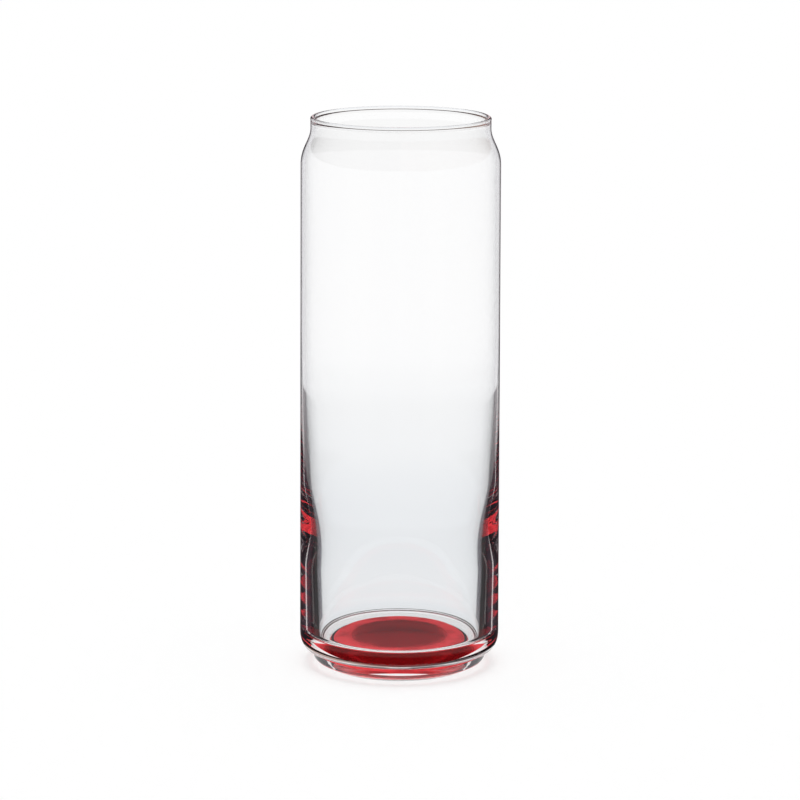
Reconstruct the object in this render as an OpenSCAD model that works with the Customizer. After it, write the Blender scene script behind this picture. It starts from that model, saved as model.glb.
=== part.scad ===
// Drinking glass in the shape of a slim drinks can, with a red coat under its base.
// Everything is turned about the upright axis. The foot stands on z = 0. Sizes are in millimetres.

/* [Overall] */
// Height from the foot to the top of the rim
total_h = 164.3; // [140:0.1:190]
// Outer radius of the body just above the heel
body_low_r = 29.75; // [28.6:0.05:32]
// Outer radius of the body just under the shoulder
body_top_r = 29.3; // [28:0.05:31]

/* [Rim and neck] */
// Outer radius of the straight neck
neck_r = 26.4; // [24:0.05:27.5]
// Length of the straight neck, rim bead included
neck_h = 3.4; // [2.5:0.1:12]
// Height of the sloping shoulder between the neck and the body
shoulder_h = 10.9; // [7:0.1:20]
// How much later the shoulder turns in near the body than near the neck
shoulder_skew = 1.2; // [1:0.05:1.6]
// Radius of the fire-polished bead at the rim
bead_r = 0.65; // [0.6:0.05:1.1]
// How far the bead stands out past the neck
bead_proud = 0.05; // [0:0.01:0.3]

/* [Wall] */
// Thickness of the upper wall
upper_wall = 1.15; // [0.9:0.05:1.25]
// Height at which the wall starts to thicken downwards
thicken_z = 85; // [65:1:110]
// Growth of the wall for each millimetre further down
thicken_rate = 0.04; // [0.01:0.002:0.05]
// Extra thickness that the wall gains at the step inside the lower body
step_wall = 1.3; // [0.6:0.1:2.2]
// Height of the upper end of that step
step_top_z = 56.5; // [42:0.5:62]
// Height that the step takes
step_h = 25; // [10:0.5:30]

/* [Base] */
// Height of the inner floor above the table
floor_z = 9.1; // [8.6:0.1:13]
// Radius of the rounded corner between the inner wall and the floor
floor_corner_r = 2.1; // [1:0.1:6]
// Radius at which the rounded heel runs into its underside
heel_edge_r = 27.5; // [26.8:0.05:28.4]
// Height of the heel's underside
heel_z = 5; // [4:0.1:5.6]
// Height that the rounding of the heel takes
heel_round_h = 4.6; // [3:0.1:7]

/* [Foot ring] */
// Outer radius of the foot ring
foot_r = 25.75; // [25:0.05:26.3]
// Outer radius of the flat that bears on the table
bearing_out_r = 22.65; // [22:0.05:23.2]
// Inner radius of the flat that bears on the table
bearing_in_r = 21.3; // [20.6:0.05:21.6]
// Angle between the table and the bevel outside that flat
bevel_deg = 28.5; // [22:0.5:34]
// Radius of the corner between the bevel and the ring's upright side
foot_corner_r = 1.5; // [0.6:0.1:1.8]
// Radius of the hollow corner where the ring meets the heel
foot_fillet_r = 0.8; // [0.4:0.1:1]

/* [Recess and coat] */
// Height of the recess under the base at the edge of its domed roof
recess_h = 3.6; // [2.8:0.1:4.2]
// Radius of the domed roof
recess_roof_r = 19.3; // [17.5:0.1:19.8]
// How much higher the roof is in the middle
dome_h = 3; // [0:0.1:3.2]
// Thickness of the red coat on the roof
coat_t = 0.2; // [0.1:0.05:0.4]
// Height of the coat's lower edge, on the recess's sloping side
coat_low_z = 2.6; // [1:0.1:2.7]

/* [Hidden] */
$fn = 96;
ARC_STEPS = 12;
CURVE_STEPS = 24;
ROOF_STEPS = 12;
ABOVE = 5;
rim_z = total_h - bead_r;
shoulder_top_z = total_h - neck_h;
shoulder_low_z = shoulder_top_z - shoulder_h;
heel_top_z = heel_z + heel_round_h;
step_low_z = step_top_z - step_h;
bead_centre_r = neck_r + bead_proud - bead_r;

// Eases from 0 to 1 while u goes from 0 to 1, and stays there outside that span
function ease(u) = (1 - cos(180 * min(max(u, 0), 1))) / 2;

// Even steps from a to b
function steps(a, b, count) = [for (i = [0 : count]) a + (b - a) * i / count];

// Points on an arc about [x, y], from angle a0 to a1
function arc(x, y, r, a0, a1) =
    [for (a = steps(a0, a1, ARC_STEPS)) [x + r * cos(a), y + r * sin(a)]];

// How far down the shoulder a height lies, from 0 at the body to 1 at the neck
function up_shoulder(z) = min(max((z - shoulder_low_z) / shoulder_h, 0), 1);

// Outer radius of the body, the shoulder and the neck at height z
function outer_r(z) =
    let (taper = min((z - heel_top_z) / (shoulder_low_z - heel_top_z), 1),
         body_r = body_low_r + (body_top_r - body_low_r) * taper)
    body_r + (neck_r - body_r) * ease(pow(up_shoulder(z), shoulder_skew));

// Thickness of the wall at height z, measured level
function wall(z) =
    upper_wall + thicken_rate * max(thicken_z - z, 0) + step_wall * ease((step_top_z - z) / step_h);

function inner_r(z) = outer_r(z) - wall(z);

// Foot ring: the bevel rises from the bearing flat and turns into the upright side by a tangent arc
bevel_reach = foot_r - bearing_out_r;
corner_x = foot_r - foot_corner_r;
corner_z = bevel_reach * tan(bevel_deg) + foot_corner_r * tan((90 - bevel_deg) / 2);

// Floor: the rounded corner is tangent to the floor and ends on the inner wall
corner_top_z = floor_z + floor_corner_r;
floor_flat_r = inner_r(corner_top_z) - floor_corner_r;

// Height of the recess's domed roof at radius r
function roof_z(r) = recess_h + dome_h * (1 - pow(r / recess_roof_r, 2));

// Radius of the recess's sloping side at height z
function slope_r(z) = recess_roof_r + (bearing_in_r - recess_roof_r) * (recess_h - z) / recess_h;

// The roof from the axis out to radius r, lowered by drop
function roof_line(r, drop) = [for (x = steps(0, r, ROOF_STEPS)) [x, roof_z(x) - drop]];

// Outside of the whole glass as a filled half section, before it is hollowed
module outside_section() {
    heel_reach = body_low_r - heel_edge_r;
    foot = concat(
        [[0, 0], [bearing_out_r, 0]],
        arc(corner_x, corner_z, foot_corner_r, bevel_deg - 90, 0),
        arc(foot_r + foot_fillet_r, heel_z - foot_fillet_r, foot_fillet_r, 180, 90));
    heel = [for (a = steps(0, 90, ARC_STEPS))
        [heel_edge_r + heel_reach * sin(a), heel_z + heel_round_h * (1 - cos(a))]];
    shoulder = [for (z = steps(shoulder_low_z, shoulder_top_z, CURVE_STEPS)) [outer_r(z), z]];
    polygon(concat(foot, heel, shoulder, [[neck_r, rim_z], [0, rim_z]]));
}

// Space inside the glass, open at the top
module hollow_section() {
    corner = arc(floor_flat_r, corner_top_z, floor_corner_r, -90, 0);
    step = [for (z = steps(step_low_z, step_top_z, CURVE_STEPS)) [inner_r(z), z]];
    shoulder = [for (z = steps(shoulder_low_z, shoulder_top_z, CURVE_STEPS)) [inner_r(z), z]];
    mouth_r = neck_r - upper_wall;
    polygon(concat(
        [[0, floor_z]], corner, step, [[inner_r(thicken_z), thicken_z]], shoulder,
        [[mouth_r, total_h + ABOVE], [0, total_h + ABOVE]]));
}

// Domed recess under the base, inside the foot ring
module recess_section() {
    polygon(concat(
        roof_line(recess_roof_r, 0),
        [[bearing_in_r, 0], [bearing_in_r, -ABOVE], [0, -ABOVE]]));
}

// Glass: one blown piece, from the foot ring to the rim bead
module glass() {
    color([0.86, 0.90, 0.93, 0.45]) rotate_extrude() {
        difference() {
            outside_section();
            hollow_section();
            recess_section();
        }
        translate([bead_centre_r, rim_z]) circle(bead_r);
    }
}

// Half section of the coat: over the roof and down the sloping side, clear of the table
module coat_section() {
    face = concat(roof_line(recess_roof_r, 0), [[slope_r(coat_low_z), coat_low_z]]);
    back = concat(roof_line(recess_roof_r - coat_t, coat_t), [[slope_r(coat_low_z) - coat_t, coat_low_z]]);
    polygon(concat(face, [for (i = [len(back) - 1 : -1 : 0]) back[i]]));
}

// Red lacquer coat that lines the recess
module base_coat() {
    color([0.78, 0.10, 0.14]) rotate_extrude() coat_section();
}

glass();
base_coat();
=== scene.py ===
import math
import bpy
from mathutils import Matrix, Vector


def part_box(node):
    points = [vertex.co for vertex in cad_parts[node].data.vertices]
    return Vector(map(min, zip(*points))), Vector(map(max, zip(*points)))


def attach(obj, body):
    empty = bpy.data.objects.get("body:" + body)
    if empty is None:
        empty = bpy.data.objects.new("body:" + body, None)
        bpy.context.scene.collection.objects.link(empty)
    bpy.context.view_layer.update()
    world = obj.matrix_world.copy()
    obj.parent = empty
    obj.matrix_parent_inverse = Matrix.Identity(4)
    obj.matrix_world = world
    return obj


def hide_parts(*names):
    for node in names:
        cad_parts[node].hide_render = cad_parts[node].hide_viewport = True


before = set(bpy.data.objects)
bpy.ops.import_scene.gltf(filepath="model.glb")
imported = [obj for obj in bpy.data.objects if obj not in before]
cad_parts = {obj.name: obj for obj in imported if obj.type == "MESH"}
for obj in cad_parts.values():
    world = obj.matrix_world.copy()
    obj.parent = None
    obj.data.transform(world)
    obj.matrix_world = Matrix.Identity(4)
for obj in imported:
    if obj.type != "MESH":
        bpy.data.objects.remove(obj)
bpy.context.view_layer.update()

from types import SimpleNamespace

import bmesh
import bpy
from mathutils import Matrix

# Lengths are in metres and angles in degrees. A name that ends in Z is a height in a material, and in the
# surroundings the upward part of a ray's direction.
WHITE = (1.0, 1.0, 1.0)

# Camera, from the photograph: distance along the table, height, downward tilt, lean and focal length
CAMERA_BACK = 0.999
CAMERA_HEIGHT = 0.2864
CAMERA_DOWN = 11.68
CAMERA_LEAN = 0.2
CAMERA_LENS = 154.9
CAMERA_REACH = 20

# Turning: steps round the axis, longest piece of an outline, and the angle from which an edge is sharp
TURN_STEPS = 192
LONGEST_PIECE = 0.002
SHARP_EDGE = 38
ON_SEAM = 1e-7
SEAM_DIGITS = 7

# Where the inner wall starts to thicken downwards, how much a metre, and how far above and below it is eased
THICKEN_Z = 0.085
THICKEN_RATE = 0.04
THICKEN_REACH = 0.016

# Glass: index of refraction, and its colour from the thick base up to the rim
GLASS_IOR = 1.52
NO_BEND_IOR = 1.0
BASE_TINT = (0.980, 0.988, 0.993)
TINT_LOW_Z = 0.0
TINT_HIGH_Z = 0.12

# Faint waves of the blown surface, longer along the wall than round it, and the haze on their crests
WAVE_SIZE = (70, 70, 22)
WAVE_DETAIL = 2
WAVE_STRENGTH = 0.25
WAVE_HEIGHT = 0.00004
HAZE_START = 0.5
HAZE_FULL = 0.8
HAZE_ROUGH = 0.012

# Painted shade on the inner wall, grey where it is seen at a glancing angle: its colour, how glancing it starts
# low down and higher up, over how much it sets in, between which heights the start shifts and the grey fades, and
# where the wall begins
EDGE_PAINTED_SHADE = (0.13, 0.12, 0.14)
EDGE_START_LOW = 0.67
EDGE_START_HIGH = 0.78
EDGE_SPAN = 0.05
EDGE_LOW_Z = 0.035
EDGE_HIGH_Z = 0.060
EDGE_FADE_Z = 0.056
EDGE_GONE_Z = 0.078
SKIN_LOW_Z = 0.0113

# Red lacquer: how far it bites into the glass, its red, a darker red for painted shade in the middle and for its
# clouding, the radii between which the painted shade fades out, its clouding, its gloss, and how clear it is in
# the middle, in the ring from a radius outwards and on the slope
COAT_BITE = 0.00002
COAT_RED = (0.98, 0.07, 0.085)
COAT_SHADE_AND_CLOUD_RED = (0.38, 0.010, 0.014)
COAT_SHADED_MIDDLE_R = 0.0125
COAT_BRIGHT_R = 0.0162
CLOUD_SCALE = 160
CLOUD_DETAIL = 3
CLOUD_SHIFT = 0.006
CLOUD_SHADE = 0.5
CLOUD_START = 0.45
CLOUD_FULL = 0.7
COAT_ROUGH = 0.04
COAT_ROUGH_MORE = 0.10
COAT_GLOSS_RED = (0.9, 0.2, 0.25)
COAT_RING_R = 0.0140
ROOF_CLEAR = 0.65
RING_CLEAR = 0.25
SLOPE_CLEAR = 0.3

# Floor: its size, how far it lies under the foot, its shares of lit grey and of its own white, and how far out
# from the axis the glass still shows it
FLOOR_SIZE = 6
FLOOR_GAP = 0.0001
FLOOR_LIT = (0.5, 0.5, 0.5)
FLOOR_OWN = 0.5
FLOOR_SHOWN_R = 0.034

# Surroundings seen through the glass: the backdrop, a little darker low down
BACKDROP_LOW = (0.90, 0.915, 0.935)
BACKDROP_HIGH_Z = -0.17
BACKDROP_LOW_Z = -0.37

# Seen through one wall only: near black and cream out of the base, and red and warm light out of the heel
BASE_SHADE = (0.03, 0.012, 0.014)
BASE_CREAM = (0.36, 0.25, 0.21)
CREAM_START = 1
CREAM_FULL = 6
RISING_START_Z = 0.10
RISING_FULL_Z = 0.14
HEEL_RED = (0.45, 0.035, 0.04)
HEEL_START = 22
HEEL_FULL = 30
HEEL_LOW_Z = 0.04
HEEL_HIGH_Z = 0.09
WARM_LIGHT = (0.90, 0.64, 0.50)
WARM_START = 48
WARM_FULL = 56

# Room that the glass reflects: its light starts aside of straight ahead, sooner for rays that go less far down
ROOM_LIGHT = (0.9, 0.9, 0.92)
ROOM_LIGHT_LOW = (0.4, 0.4, 0.4)
LIGHT_START_LOW = 58
LIGHT_START_HIGH = 13
LIGHT_SPAN = 10

# Reflected by the outside of the glass: the room, the backdrop close to straight ahead, two soft windows as
# (direction, outer and inner half width), and the floor
DARK_ROOM = (0.055, 0.04, 0.05)
ROOM_LOW_Z = -0.235
ROOM_HIGH_Z = -0.205
BEHIND_FULL = 3
BEHIND_GONE = 9
RIGHT_WINDOW = (139, 16, 4)
LEFT_WINDOW = (-130, 24, 8)
WINDOW_LOW_Z = -0.225
WINDOW_HIGH_Z = -0.19
FLOOR_DARK = (0.02, 0.015, 0.015)
FRONT_LOW_Z = -0.42
FRONT_HIGH_Z = -0.29

# Reflected inside the glass: the room, darkest to the sides, with a slanting streak of light on either side, and
# without light for rays that the inner floor sends up
DARKEST_ROOM = (0.008, 0.007, 0.008)
DARK_START = 26
DARK_FULL = 42
GUIDED_LOW_Z = -0.265
GUIDED_HIGH_Z = -0.235
SIDE_STREAK = (0.85, 0.80, 0.80)
STREAK_TURN_LOW = 18
STREAK_TURN_HIGH = 2
STREAK_LOW_Z = -0.242
STREAK_HIGH_Z = -0.222
STREAK_EDGE = 3.84
STREAK_CORE = 0.96
UPWARD_FULL_Z = 0.08
UPWARD_GONE_Z = 0.18

# Light paths long enough for the thick wall
ALL_BOUNCES = 48
GLOSSY_BOUNCES = 32


def half_section(node):
    """A CAD node's outline at angle 0 as (radius, height) points in order, with both ends on the axis."""
    mesh = node.data
    on_seam = {v.index for v in mesh.vertices if v.co.x > -ON_SEAM and abs(v.co.y) < ON_SEAM}
    beside = {}
    for edge in mesh.edges:
        if on_seam.issuperset(edge.vertices):
            places = (mesh.vertices[i].co for i in edge.vertices)
            a, b = ((round(place.x, SEAM_DIGITS), round(place.z, SEAM_DIGITS)) for place in places)
            if a != b:
                beside.setdefault(a, set()).add(b)
                beside.setdefault(b, set()).add(a)
    outline = [min(p for p in beside if len(beside[p]) == 1 and p[0] == 0)]
    while True:
        ahead = beside[outline[-1]] - set(outline[-2:])
        if not ahead:
            break
        outline.append(ahead.pop())
    if outline[-1][0] > 0:
        outline.append((0, outline[-1][1]))
    return outline


def split_at(outline, height):
    """The outline with one more point, where it first comes down to a height."""
    for i, ((r0, z0), (r1, z1)) in enumerate(zip(outline, outline[1:])):
        if z0 > height > z1:
            share = (z0 - height) / (z0 - z1)
            return outline[:i + 1] + [(r0 + (r1 - r0) * share, height)] + outline[i + 1:]
    return outline


def refined(outline):
    """The outline with its long pieces split evenly."""
    fine = [outline[0]]
    for (r0, z0), (r1, z1) in zip(outline, outline[1:]):
        count = math.ceil(math.hypot(r1 - r0, z1 - z0) / LONGEST_PIECE)
        fine += [(r0 + (r1 - r0) * i / count, z0 + (z1 - z0) * i / count) for i in range(1, count + 1)]
    return fine


def softened(outline, rim):
    """The outline with the corner eased where the inner wall, past the rim, starts to thicken."""
    soft = outline[:rim]
    for r, z in outline[rim:]:
        near = max(THICKEN_REACH - abs(z - THICKEN_Z), 0)
        soft.append((r - THICKEN_RATE * near ** 2 / (4 * THICKEN_REACH), z))
    return soft


def turned(name, outline, slot_of):
    """A body turned from an outline. slot_of gives the material slot of the piece between two of its points."""
    bm = bmesh.new()
    rings = []
    for r, z in outline:
        turns = [math.tau * i / TURN_STEPS for i in range(TURN_STEPS)] if r > 0 else [0]
        rings.append([bm.verts.new((r * math.cos(t), r * math.sin(t), z)) for t in turns])
    for k, (low, high) in enumerate(zip(rings, rings[1:])):
        slot = slot_of(outline[k], outline[k + 1], k)
        for i in range(TURN_STEPS):
            j = (i + 1) % TURN_STEPS
            corners = [low[i % len(low)], low[j % len(low)], high[j % len(high)], high[i % len(high)]]
            bm.faces.new(list(dict.fromkeys(corners))).material_index = slot
    bmesh.ops.recalc_face_normals(bm, faces=bm.faces)
    mesh = bpy.data.meshes.new(name)
    bm.to_mesh(mesh)
    bm.free()
    mesh.shade_smooth()
    mesh.set_sharp_from_angle(angle=math.radians(SHARP_EDGE))
    piece = bpy.data.objects.new(name, mesh)
    bpy.context.scene.collection.objects.link(piece)
    return piece


def add(tree, kind, inputs=None, **settings):
    """A new shader node. An input is given a number, a colour or another node's output."""
    node = tree.nodes.new("ShaderNode" + kind)
    for name, value in settings.items():
        setattr(node, name, value)
    for key, value in (inputs or {}).items():
        if isinstance(value, bpy.types.NodeSocket):
            tree.links.new(value, node.inputs[key])
        elif isinstance(value, tuple) and len(node.inputs[key].default_value) == 4:
            node.inputs[key].default_value = (*value, 1)
        else:
            node.inputs[key].default_value = value
    return node


def calc(tree, operation, a, b=0.0, c=0.0):
    return add(tree, "Math", {0: a, 1: b, 2: c}, operation=operation).outputs[0]


def product(tree, value, *others):
    for other in others:
        value = calc(tree, "MULTIPLY", value, other)
    return value


def ease(tree, value, start, end):
    """0 up to start and 1 from end, easing between them. Start may be the higher one."""
    edges = {"Value": value, "From Min": start, "From Max": end}
    return add(tree, "MapRange", edges, interpolation_type="SMOOTHSTEP").outputs[0]


def ease_angle(tree, angle, start, end):
    """As ease, with start and end in degrees."""
    return ease(tree, angle, math.radians(start), math.radians(end))


def at_least(tree, depth, count):
    """1 for a ray that has met something count times or more."""
    return calc(tree, "GREATER_THAN", depth, count - 0.5)


def fewer_than(tree, depth, count):
    """1 for a ray that has met something fewer than count times."""
    return calc(tree, "LESS_THAN", depth, count - 0.5)


def mix(tree, factor, a, b):
    """Colour a where the factor is 0 and b where it is 1."""
    return add(tree, "Mix", {0: factor, 6: a, 7: b}, data_type="RGBA").outputs[2]


def split_place(tree, output="Object"):
    """The X, Y and Z of a texture coordinate."""
    place = add(tree, "TexCoord").outputs[output]
    return add(tree, "SeparateXYZ", {0: place}).outputs


def axis_distance(tree):
    """How far a point is from the upright axis."""
    place = split_place(tree)
    squares = [calc(tree, "MULTIPLY", place[axis], place[axis]) for axis in "XY"]
    return calc(tree, "SQRT", calc(tree, "ADD", *squares))


def new_material(name):
    material = bpy.data.materials.new(name)
    material.use_nodes = True
    return material, material.node_tree, material.node_tree.nodes["Principled BSDF"]


def clear_material(name, ior):
    """A smooth, fully clear material."""
    material, tree, shader = new_material(name)
    shader.inputs["Transmission Weight"].default_value = 1.0
    shader.inputs["Roughness"].default_value = 0.0
    shader.inputs["IOR"].default_value = ior
    return material, tree, shader


def glass_tint(tree):
    """The glass's faint cool colour, stronger in the thick base."""
    height = split_place(tree)["Z"]
    return mix(tree, ease(tree, height, TINT_LOW_Z, TINT_HIGH_Z), BASE_TINT, WHITE)


def add_waves(tree, shader):
    """Faint waves, and a little haze on their crests."""
    spot = add(tree, "TexCoord").outputs["Object"]
    stretched = add(tree, "Mapping", {"Vector": spot, "Scale": WAVE_SIZE}).outputs[0]
    waves = add(tree, "TexNoise", {"Vector": stretched, "Scale": 1.0, "Detail": WAVE_DETAIL}).outputs[0]
    bump = add(tree, "Bump", {"Strength": WAVE_STRENGTH, "Distance": WAVE_HEIGHT, "Height": waves})
    tree.links.new(bump.outputs[0], shader.inputs["Normal"])
    haze = calc(tree, "MULTIPLY", ease(tree, waves, HAZE_START, HAZE_FULL), HAZE_ROUGH)
    tree.links.new(haze, shader.inputs["Roughness"])


def glass_material():
    material, tree, shader = clear_material("clear_glass", GLASS_IOR)
    tree.links.new(glass_tint(tree), shader.inputs["Base Color"])
    add_waves(tree, shader)
    return material


def bonded_material():
    """Glass under the lacquer, where light passes into it without bending."""
    material, tree, shader = clear_material("clear_glass_bonded", NO_BEND_IOR)
    tree.links.new(glass_tint(tree), shader.inputs["Base Color"])
    return material


def skin_material():
    """The inner wall: as the glass, with grey painted shade where it is seen at a glancing angle in the thick
    lower part.
    """
    material, tree, shader = clear_material("clear_glass_inside", GLASS_IOR)
    height = split_place(tree)["Z"]
    glancing = add(tree, "LayerWeight", {"Blend": 0.5}).outputs["Facing"]
    up = ease(tree, height, EDGE_LOW_Z, EDGE_HIGH_Z)
    start = calc(tree, "MULTIPLY_ADD", up, EDGE_START_HIGH - EDGE_START_LOW, EDGE_START_LOW)
    at_edge = ease(tree, glancing, start, calc(tree, "ADD", start, EDGE_SPAN))
    edge = product(tree, at_edge, ease(tree, height, EDGE_GONE_Z, EDGE_FADE_Z))
    # Painted shade: the inner wall's colour turns grey at a glancing angle.
    tree.links.new(mix(tree, edge, glass_tint(tree), EDGE_PAINTED_SHADE), shader.inputs["Base Color"])
    add_waves(tree, shader)
    return material


def red_material(name, ior, clear):
    """Cloudy red lacquer with painted shade darkening its middle, over glass that it is bonded to or against air.
    """
    material, tree, shader = clear_material(name, ior)
    shader.inputs["Transmission Weight"].default_value = clear
    shader.inputs["Specular Tint"].default_value = (*COAT_GLOSS_RED, 1)
    spot = add(tree, "TexCoord").outputs["Object"]
    cloud = add(tree, "TexNoise", {"Vector": spot, "Scale": CLOUD_SCALE, "Detail": CLOUD_DETAIL}).outputs[0]
    shift = calc(tree, "SUBTRACT", cloud, 0.5)
    radius = calc(tree, "MULTIPLY_ADD", shift, CLOUD_SHIFT, axis_distance(tree))
    # Painted shade: darker red towards the middle, inside a clouded radius; the clouding below darkens it further
    # at random.
    red = mix(tree, ease(tree, radius, COAT_SHADED_MIDDLE_R, COAT_BRIGHT_R), COAT_SHADE_AND_CLOUD_RED, COAT_RED)
    shade = calc(tree, "MULTIPLY", ease(tree, cloud, CLOUD_START, CLOUD_FULL), CLOUD_SHADE)
    tree.links.new(mix(tree, shade, red, COAT_SHADE_AND_CLOUD_RED), shader.inputs["Base Color"])
    rough = calc(tree, "MULTIPLY_ADD", cloud, COAT_ROUGH_MORE, COAT_ROUGH)
    tree.links.new(rough, shader.inputs["Roughness"])
    return material


def make_glass(coat_low_z):
    """The glass, turned again from its CAD outline with smooth shading. Its three surfaces differ in material."""
    outline = refined(split_at(half_section(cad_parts["glass"]), coat_low_z))
    rim = max(range(len(outline)), key=lambda i: outline[i][1])
    outline = softened(outline, rim)
    coated = next(i for i, (r, z) in enumerate(outline) if z <= coat_low_z + ON_SEAM)
    outside, bonded, inside = range(3)

    def slot_of(a, b, k):
        if k < coated:
            return bonded
        return inside if k >= rim and min(a[1], b[1]) >= SKIN_LOW_Z - ON_SEAM else outside

    glass = turned("glass_turned", outline, slot_of)
    for material in (glass_material(), bonded_material(), skin_material()):
        glass.data.materials.append(material)
    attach(glass, "root")
    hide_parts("glass")


def make_coat():
    """The lacquer film. Its upper side bites a little into the glass, so that no air is left between them."""
    outline = half_section(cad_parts["base_coat"])
    if outline[0][1] < outline[-1][1]:
        outline.reverse()
    edge = max(range(len(outline)), key=lambda i: outline[i][0])
    upper = [(r + COAT_BITE if r > 0 else 0, z + COAT_BITE) for r, z in outline[:edge]]
    lip = (outline[edge][0] + COAT_BITE, outline[edge][1])
    under, roof, slope, ring = range(4)

    def slot_of(a, b, k):
        if k >= edge:
            return under
        if k == edge - 1:
            return slope
        return ring if min(a[0], b[0]) > COAT_RING_R else roof

    coat = turned("red_coat_turned", upper + [lip] + outline[edge + 1:], slot_of)
    coat.data.materials.append(red_material("red_coat", GLASS_IOR, ROOF_CLEAR))
    coat.data.materials.append(red_material("red_coat_on_roof", NO_BEND_IOR, ROOF_CLEAR))
    coat.data.materials.append(red_material("red_coat_on_slope", NO_BEND_IOR, SLOPE_CLEAR))
    coat.data.materials.append(red_material("red_coat_on_ring", NO_BEND_IOR, RING_CLEAR))
    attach(coat, "root")
    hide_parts("base_coat")


def ray_facts(tree):
    """What a ray has met, and where it goes: turn is its angle from straight ahead, above 0 to the right."""
    path = add(tree, "LightPath").outputs
    crossed, reflected = path["Transmission Depth"], path["Glossy Depth"]
    across = split_place(tree, "Generated")
    turn = calc(tree, "ARCTAN2", across["X"], across["Y"])
    inside = at_least(tree, crossed, 1)
    one_wall = fewer_than(tree, crossed, 3)
    return SimpleNamespace(
        from_camera=path["Is Camera Ray"],
        undiffused=fewer_than(tree, path["Diffuse Depth"], 1),
        reflected=at_least(tree, reflected, 1),
        reflected_once=fewer_than(tree, reflected, 2),
        inside=inside,
        one_wall=one_wall,
        two_walls=at_least(tree, crossed, 3),
        inside_one_wall=product(tree, one_wall, inside),
        turn=turn,
        aside=calc(tree, "ABSOLUTE", turn),
        rise=across["Z"],
        rising=ease(tree, across["Z"], RISING_START_Z, RISING_FULL_Z))


def base_colour(tree, ray):
    """What rays show that rise out of the base: near black, and cream on one side."""
    return mix(tree, ease_angle(tree, ray.turn, CREAM_START, CREAM_FULL), BASE_SHADE, BASE_CREAM)


def room(tree, ray, low_z, high_z):
    """The colour of the room's light, and how far a ray goes into it."""
    high = ease(tree, ray.rise, low_z, high_z)
    sooner = math.radians(LIGHT_START_HIGH - LIGHT_START_LOW)
    start = calc(tree, "MULTIPLY_ADD", high, sooner, math.radians(LIGHT_START_LOW))
    lit = ease(tree, ray.aside, start, calc(tree, "ADD", start, math.radians(LIGHT_SPAN)))
    return mix(tree, high, ROOM_LIGHT_LOW, ROOM_LIGHT), lit


def streak(tree, ray):
    """1 in the slanting streak on either side."""
    slant = {"Value": ray.rise, "From Min": STREAK_LOW_Z, "From Max": STREAK_HIGH_Z,
             "To Min": math.radians(STREAK_TURN_LOW), "To Max": math.radians(STREAK_TURN_HIGH)}
    centre = add(tree, "MapRange", slant).outputs[0]
    off = calc(tree, "ABSOLUTE", calc(tree, "SUBTRACT", ray.aside, centre))
    return ease_angle(tree, off, STREAK_EDGE, STREAK_CORE)


def window(tree, ray, direction, outer, inner):
    """1 within the inner half width of a direction, and 0 beyond the outer one."""
    off = calc(tree, "ABSOLUTE", calc(tree, "SUBTRACT", ray.turn, math.radians(direction)))
    return ease_angle(tree, off, outer, inner)


def view_through(tree, ray):
    """What shows through the glass without a reflection."""
    view = mix(tree, ease(tree, ray.rise, BACKDROP_HIGH_Z, BACKDROP_LOW_Z), WHITE, BACKDROP_LOW)
    warm = mix(tree, calc(tree, "GREATER_THAN", ray.turn, 0.0), WHITE, WARM_LIGHT)
    heel = mix(tree, ease_angle(tree, ray.aside, WARM_START, WARM_FULL), HEEL_RED, warm)
    to_heel = ease_angle(tree, ray.aside, HEEL_START, HEEL_FULL)
    at_heel = product(tree, ray.inside_one_wall, to_heel, ease(tree, ray.rise, HEEL_LOW_Z, HEEL_HIGH_Z))
    view = mix(tree, at_heel, view, heel)
    return mix(tree, product(tree, ray.inside_one_wall, ray.rising), view, base_colour(tree, ray))


def view_outside(tree, ray):
    """What the outside of the glass reflects."""
    light, lit = room(tree, ray, ROOM_LOW_Z, ROOM_HIGH_Z)
    behind = ease_angle(tree, ray.aside, BEHIND_GONE, BEHIND_FULL)
    view = mix(tree, calc(tree, "MAXIMUM", lit, behind), DARK_ROOM, light)
    windows = calc(tree, "ADD", window(tree, ray, *RIGHT_WINDOW), window(tree, ray, *LEFT_WINDOW))
    windows = product(tree, windows, ease(tree, ray.rise, WINDOW_LOW_Z, WINDOW_HIGH_Z))
    view = mix(tree, windows, view, WHITE)
    return mix(tree, ease(tree, ray.rise, FRONT_LOW_Z, FRONT_HIGH_Z), FLOOR_DARK, view)


def view_inside(tree, ray):
    """What the glass reflects inside its wall. Only rays that it reflects once come out into the room's light."""
    light, lit = room(tree, ray, GUIDED_LOW_Z, GUIDED_HIGH_Z)
    kept = calc(tree, "MAXIMUM", ease(tree, ray.rise, UPWARD_GONE_Z, UPWARD_FULL_Z), ray.one_wall)
    view = mix(tree, ease_angle(tree, ray.aside, DARK_START, DARK_FULL), DARK_ROOM, DARKEST_ROOM)
    view = mix(tree, product(tree, streak(tree, ray), kept), view, SIDE_STREAK)
    lit = calc(tree, "MAXIMUM", lit, ray.two_walls)
    view = mix(tree, product(tree, ray.reflected_once, kept, lit), view, light)
    at_base = product(tree, ray.inside_one_wall, ray.reflected_once, ray.rising)
    return mix(tree, at_base, view, base_colour(tree, ray))


def make_world():
    """White surroundings that light the glass, with the photograph's darker room in what the glass reflects."""
    studio = bpy.data.worlds.new("studio")
    bpy.context.scene.world = studio
    studio.use_nodes = True
    tree = studio.node_tree
    tree.nodes.clear()
    ray = ray_facts(tree)
    reflection = mix(tree, ray.inside, view_outside(tree, ray), view_inside(tree, ray))
    view = mix(tree, ray.reflected, view_through(tree, ray), reflection)
    view = mix(tree, ray.from_camera, view, WHITE)
    light = mix(tree, ray.undiffused, WHITE, view)
    background = add(tree, "Background", {"Color": light, "Strength": 1.0})
    add(tree, "OutputWorld", {"Surface": background.outputs[0]})


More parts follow.
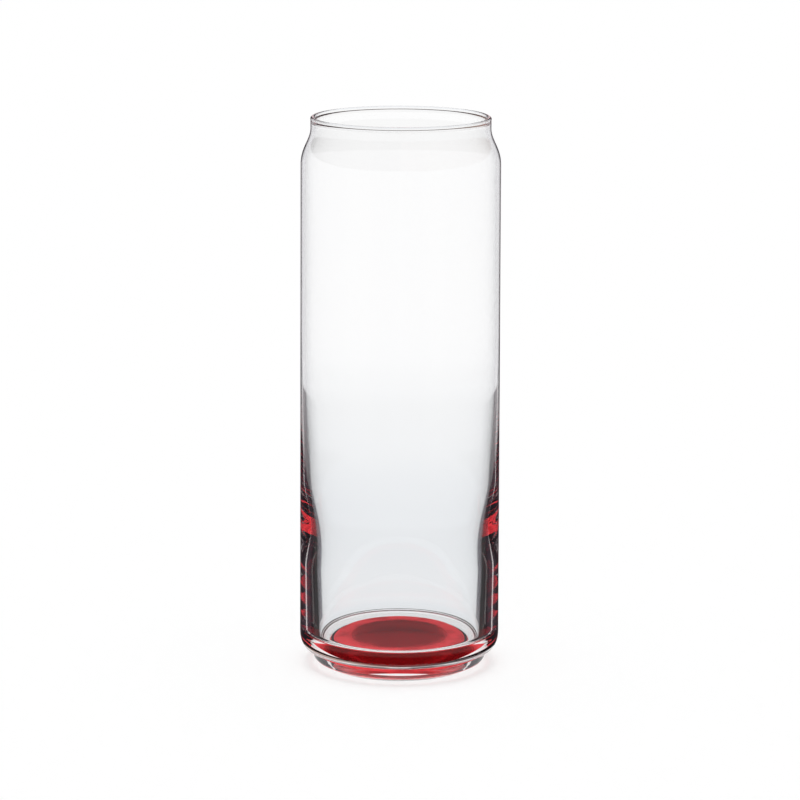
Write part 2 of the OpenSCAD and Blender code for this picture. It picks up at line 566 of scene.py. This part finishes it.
def make_floor():
    """A pale floor. Through the glass it shows only under the base, and beyond that the backdrop does."""
    bpy.ops.mesh.primitive_plane_add(size=FLOOR_SIZE, location=(0, 0, -FLOOR_GAP))
    floor = bpy.context.object
    floor.name = "floor"
    material, tree, shader = new_material("floor")
    shader.inputs["Base Color"].default_value = (*FLOOR_LIT, 1)
    shader.inputs["Roughness"].default_value = 1.0
    shader.inputs["Specular IOR Level"].default_value = 0.0
    shader.inputs["Emission Color"].default_value = (*WHITE, 1)
    shader.inputs["Emission Strength"].default_value = FLOOR_OWN
    path = add(tree, "LightPath").outputs
    by_glass = calc(tree, "MAXIMUM", path["Is Glossy Ray"], path["Is Transmission Ray"])
    beyond = calc(tree, "GREATER_THAN", axis_distance(tree), FLOOR_SHOWN_R)
    white, clear = add(tree, "Emission").outputs[0], add(tree, "BsdfTransparent").outputs[0]
    shown = add(tree, "MixShader", {0: beyond, 1: white, 2: clear}).outputs[0]
    surface = add(tree, "MixShader", {0: by_glass, 1: shader.outputs[0], 2: shown}).outputs[0]
    tree.links.new(surface, tree.nodes["Material Output"].inputs["Surface"])
    floor.data.materials.append(material)


def make_camera():
    camera = bpy.data.objects.new("camera", bpy.data.cameras.new("camera"))
    bpy.context.scene.collection.objects.link(camera)
    camera.data.lens = CAMERA_LENS
    camera.data.clip_end = CAMERA_REACH
    tilt = Matrix.Rotation(math.radians(90 - CAMERA_DOWN), 4, "X")
    lean = Matrix.Rotation(math.radians(CAMERA_LEAN), 4, "Z")
    camera.matrix_world = Matrix.Translation((0, -CAMERA_BACK, CAMERA_HEIGHT)) @ tilt @ lean
    bpy.context.scene.camera = camera


def set_light_paths():
    """Enough bounces for light that runs through the thick wall, and no blur that would cost it brightness."""
    cycles = bpy.context.scene.cycles
    cycles.blur_glossy = 0
    cycles.max_bounces = ALL_BOUNCES
    cycles.glossy_bounces = GLOSSY_BOUNCES
    cycles.transmission_bounces = ALL_BOUNCES


make_camera()
make_glass(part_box("base_coat")[0].z)
make_coat()
make_world()
make_floor()
set_light_paths()
bpy.context.scene.view_settings.view_transform = "Standard"
